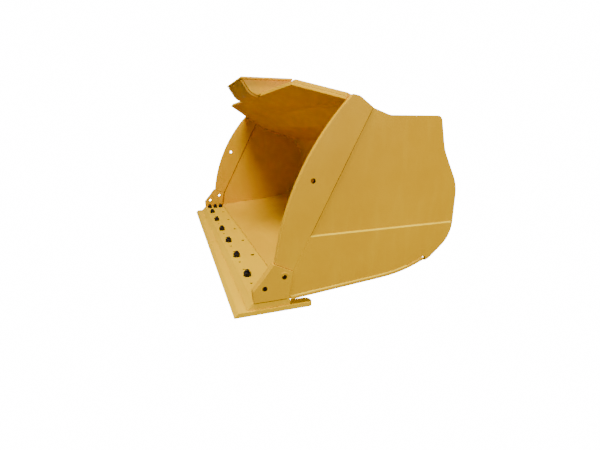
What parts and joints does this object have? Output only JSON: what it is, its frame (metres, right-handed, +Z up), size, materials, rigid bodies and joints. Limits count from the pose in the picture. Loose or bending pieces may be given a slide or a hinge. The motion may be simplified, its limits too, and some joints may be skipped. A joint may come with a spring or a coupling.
{
  "type": "wheel loader bucket",
  "caption": "Wide loader bucket with a bolt-on cutting edge, curved shell, spill guard with raised visor, and pinned hinges for lift arms and a tilt link.",
  "frame": {"origin": "centre of the footprint on the ground, under the middle of the bucket's depth", "axes": "+X to the bucket's right-hand side seen from behind, +Y rearwards towards the machine, +Z up; the mouth faces -Y"},
  "size_m": [2.926, 1.735, 1.444],
  "materials": {
    "shell_paint": "yellow enamel, satin",
    "edge_paint": "yellow enamel over hardened plate, satin",
    "black_hardware": "black oxide",
    "pin_steel": "ground and greased",
    "zinc_hardware": "zinc plated",
    "bush_bronze": "turned"
  },
  "bodies": {
    "bucket": {"cutting_edge_left": "edge_paint", "cutting_edge_right": "edge_paint", "base_edge": "edge_paint", "edge_bolts": "black_hardware", "edge_nuts": "black_hardware", "corner_shroud_left": "shell_paint", "corner_shroud_right": "shell_paint", "side_bar_left": "shell_paint", "side_bar_right": "shell_paint", "side_plate_left": "shell_paint", "side_plate_right": "shell_paint", "side_wear_plate_left": "shell_paint", "side_wear_plate_right": "shell_paint", "floor_plate": "shell_paint", "heel_plate": "shell_paint", "back_plate": "shell_paint", "roof_plate": "shell_paint", "torque_top_plate": "shell_paint", "torque_slope_plate": "shell_paint", "torque_rear_plate": "shell_paint", "torque_gussets": "shell_paint", "spill_guard_plate": "shell_paint", "lip_bar_left": "shell_paint", "lip_bar_right": "shell_paint", "lip_end_bar_left": "shell_paint", "lip_end_bar_right": "shell_paint", "visor_cheek_left": "shell_paint", "visor_cheek_right": "shell_paint", "visor_tongue": "shell_paint", "visor_cover": "shell_paint", "visor_rear_plate": "shell_paint", "back_ribs": "shell_paint", "skid_webs": "shell_paint", "skid_soles": "shell_paint", "stop_pads": "shell_paint", "arm_hinge_left_outer": "shell_paint", "arm_hinge_left_inner": "shell_paint", "arm_hinge_right_inner": "shell_paint", "arm_hinge_right_outer": "shell_paint", "tilt_ear_left": "shell_paint", "tilt_ear_right": "shell_paint", "hinge_collars": "shell_paint", "keeper_bosses": "shell_paint", "arm_bushes_left": "bush_bronze", "arm_bushes_right": "bush_bronze", "tilt_bushes": "bush_bronze"},
    "arm_pin_left_body": {"arm_pin_left": "pin_steel", "arm_keeper_bolt_left": "zinc_hardware", "arm_grease_fitting_left": "zinc_hardware"},
    "arm_pin_right_body": {"arm_pin_right": "pin_steel", "arm_keeper_bolt_right": "zinc_hardware", "arm_grease_fitting_right": "zinc_hardware"},
    "tilt_pin_body": {"tilt_pin": "pin_steel", "tilt_keeper_bolt": "zinc_hardware", "tilt_grease_fitting": "zinc_hardware"}
  },
  "joints": [
    {"name": "arm_pin_left_draw", "type": "slide", "parent": "bucket", "child": "arm_pin_left_body", "axis": [-1, 0, 0], "range_m": [0, 0.3]},
    {"name": "arm_pin_right_draw", "type": "slide", "parent": "bucket", "child": "arm_pin_right_body", "axis": [1, 0, 0], "range_m": [0, 0.3]},
    {"name": "tilt_pin_draw", "type": "slide", "parent": "bucket", "child": "tilt_pin_body", "axis": [1, 0, 0], "range_m": [0, 0.3]}
  ]
}
